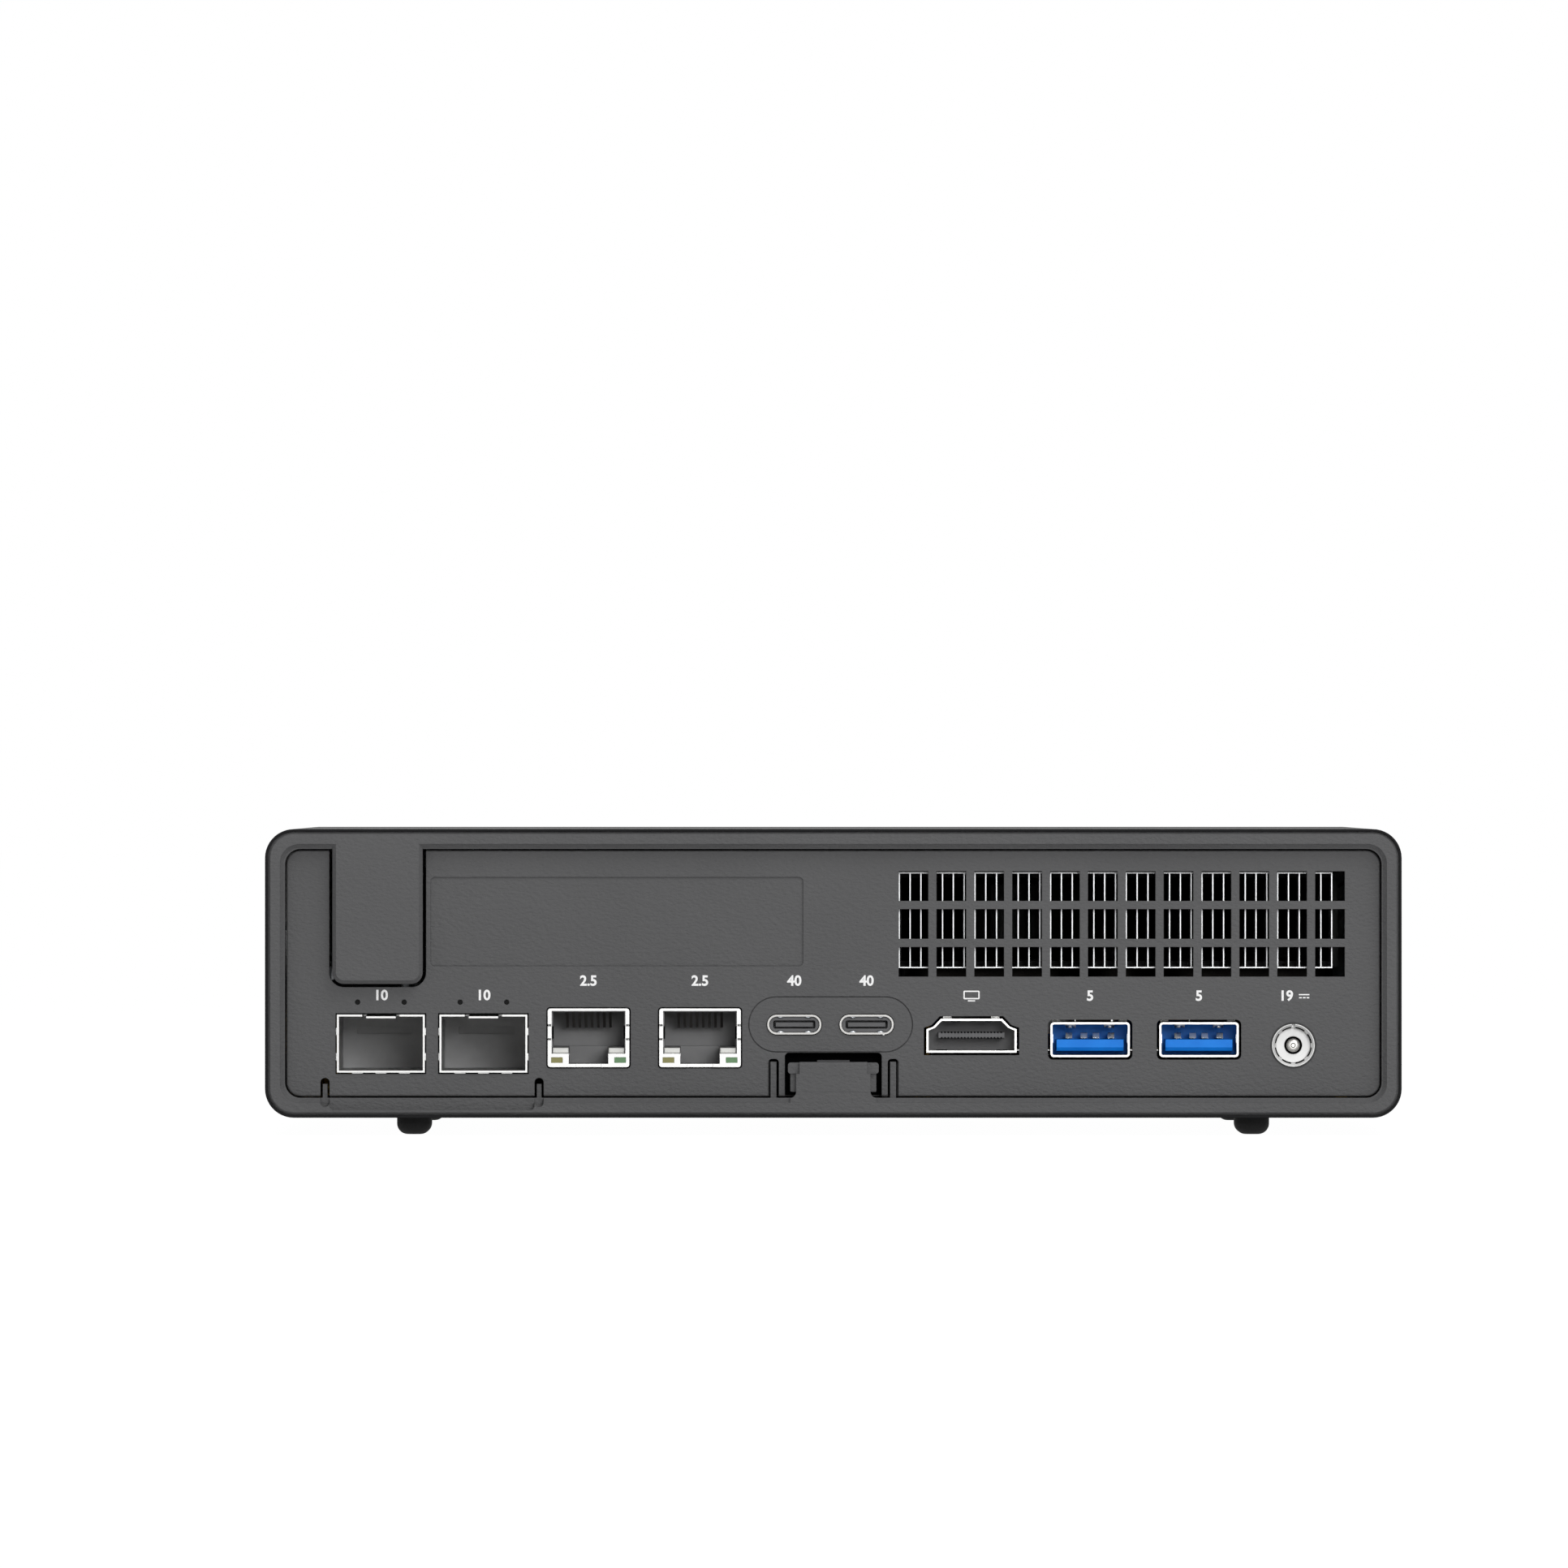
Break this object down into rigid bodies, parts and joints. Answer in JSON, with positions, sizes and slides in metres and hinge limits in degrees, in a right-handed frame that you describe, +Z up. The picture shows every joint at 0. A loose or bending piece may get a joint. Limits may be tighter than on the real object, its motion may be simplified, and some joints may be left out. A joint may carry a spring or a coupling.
{
  "type": "mini pc",
  "caption": "Flat mini PC: black sleeve on rubber feet with a grey connector panel, and a chassis that slides out of the front once a latch tongue is pressed.",
  "frame": {"origin": "centre of the footprint, at the level of the foot soles", "axes": "+Z up, +Y towards the front face with the power button, -Y towards the connector face, +X to the right seen from the connector side"},
  "size_m": [0.189, 0.196, 0.051],
  "materials": {
    "sleeve_black": "fine satin powder coat",
    "frame_grey": "fine leather-like moulded grain",
    "panel_grey": "fine leather-like moulded grain",
    "foot_rubber": "matte",
    "glide_white": "slick nylon",
    "tray_steel": "zinc plated",
    "grille_black": "matte black",
    "board_black": "solder mask",
    "post_brass": "turned",
    "screw_steel": "nickel plated",
    "cage_steel": "tin plated sheet",
    "connector_dark": "moulded",
    "light_pipe": "clear acrylic",
    "rj45_plating": "nickel plated",
    "rj45_insert": "moulded",
    "contact_gold": "gold plated",
    "lamp_amber": "diffusing",
    "lamp_green": "diffusing",
    "port_shell": "nickel plated",
    "port_black": "moulded",
    "port_grey": "moulded",
    "port_blue": "moulded",
    "contact_steel": "plated spring",
    "jack_chrome": "polished",
    "fin_aluminium": "bare sheet",
    "plate_copper": "copper, milled",
    "die_silicon": "polished die",
    "fan_black": "moulded",
    "module_green": "solder mask",
    "cell_steel": "bare",
    "coil_grey": "pressed iron powder",
    "button_black": "satin"
  },
  "bodies": {
    "shell": {"outer_sleeve": "sleeve_black", "rear_frame": "frame_grey", "rubber_feet": "foot_rubber", "glide_strips": "glide_white"},
    "chassis": {"tray": "tray_steel", "io_panel": "panel_grey", "slot_cover": "panel_grey", "front_fascia": "frame_grey", "front_grille": "grille_black", "mainboard": "board_black", "board_standoffs": "post_brass", "board_screws": "screw_steel", "panel_screws": "screw_steel", "sfp_cage_1": "cage_steel", "sfp_cage_2": "cage_steel", "sfp_connectors": "connector_dark", "sfp_light_pipes": "light_pipe", "rj45_shell_1": "rj45_plating", "rj45_shell_2": "rj45_plating", "rj45_housing_1": "rj45_insert", "rj45_housing_2": "rj45_insert", "rj45_contacts": "contact_gold", "rj45_led_amber": "lamp_amber", "rj45_led_green": "lamp_green", "usb_c_shell_1": "port_shell", "usb_c_shell_2": "port_shell", "usb_c_tongues": "port_grey", "hdmi_shell": "port_shell", "hdmi_tongue": "port_grey", "usb_a_shell_1": "port_shell", "usb_a_shell_2": "port_shell", "usb_a_tongues": "port_blue", "usb_a_contacts": "contact_steel", "dc_jack_body": "port_black", "dc_jack_barrel": "jack_chrome", "dc_pin": "contact_steel", "fin_stack": "fin_aluminium", "cpu_package": "die_silicon", "cooler_base": "plate_copper", "heat_pipes": "plate_copper", "blower_housing": "fan_black", "blower_motor": "fan_black", "ssd_fan_frame": "fan_black", "memory_sockets": "port_black", "memory_modules": "module_green", "expansion_slot": "port_black", "ssd_sockets": "port_black", "ssd_modules": "module_green", "coin_cell": "cell_steel", "power_inductors": "coil_grey", "button_switch": "port_black", "power_led": "light_pipe", "front_usb_shells": "port_shell", "front_usb_tongues": "port_blue", "audio_jack": "port_black"},
    "latch": {"release_latch": "frame_grey"},
    "button": {"power_button": "button_black"},
    "blower_wheel": {"blower_rotor": "fan_black"},
    "drive_fan_wheel": {"ssd_fan_rotor": "fan_black"}
  },
  "joints": [
    {"name": "chassis_slide", "type": "slide", "parent": "shell", "child": "chassis", "axis": [0, 1, 0], "range_m": [0, 0.19]},
    {"name": "latch_press", "type": "hinge", "parent": "shell", "child": "latch", "pos_m": [0, -0.0962, 0.0073], "axis": [1, 0, 0], "range_deg": [-9, 0], "stiffness_Nm_per_rad": 0.13},
    {"name": "button_press", "type": "slide", "parent": "chassis", "child": "button", "axis": [0, -1, 0], "range_m": [0, 0.0008], "stiffness_N_per_m": 1500},
    {"name": "blower_spin", "type": "hinge", "parent": "chassis", "child": "blower_wheel", "pos_m": [0.0475, -0.03, 0.036], "axis": [0, 0, 1], "continuous": true},
    {"name": "drive_fan_spin", "type": "hinge", "parent": "chassis", "child": "drive_fan_wheel", "pos_m": [-0.034, 0.01, 0.01], "axis": [0, 0, 1], "continuous": true}
  ]
}
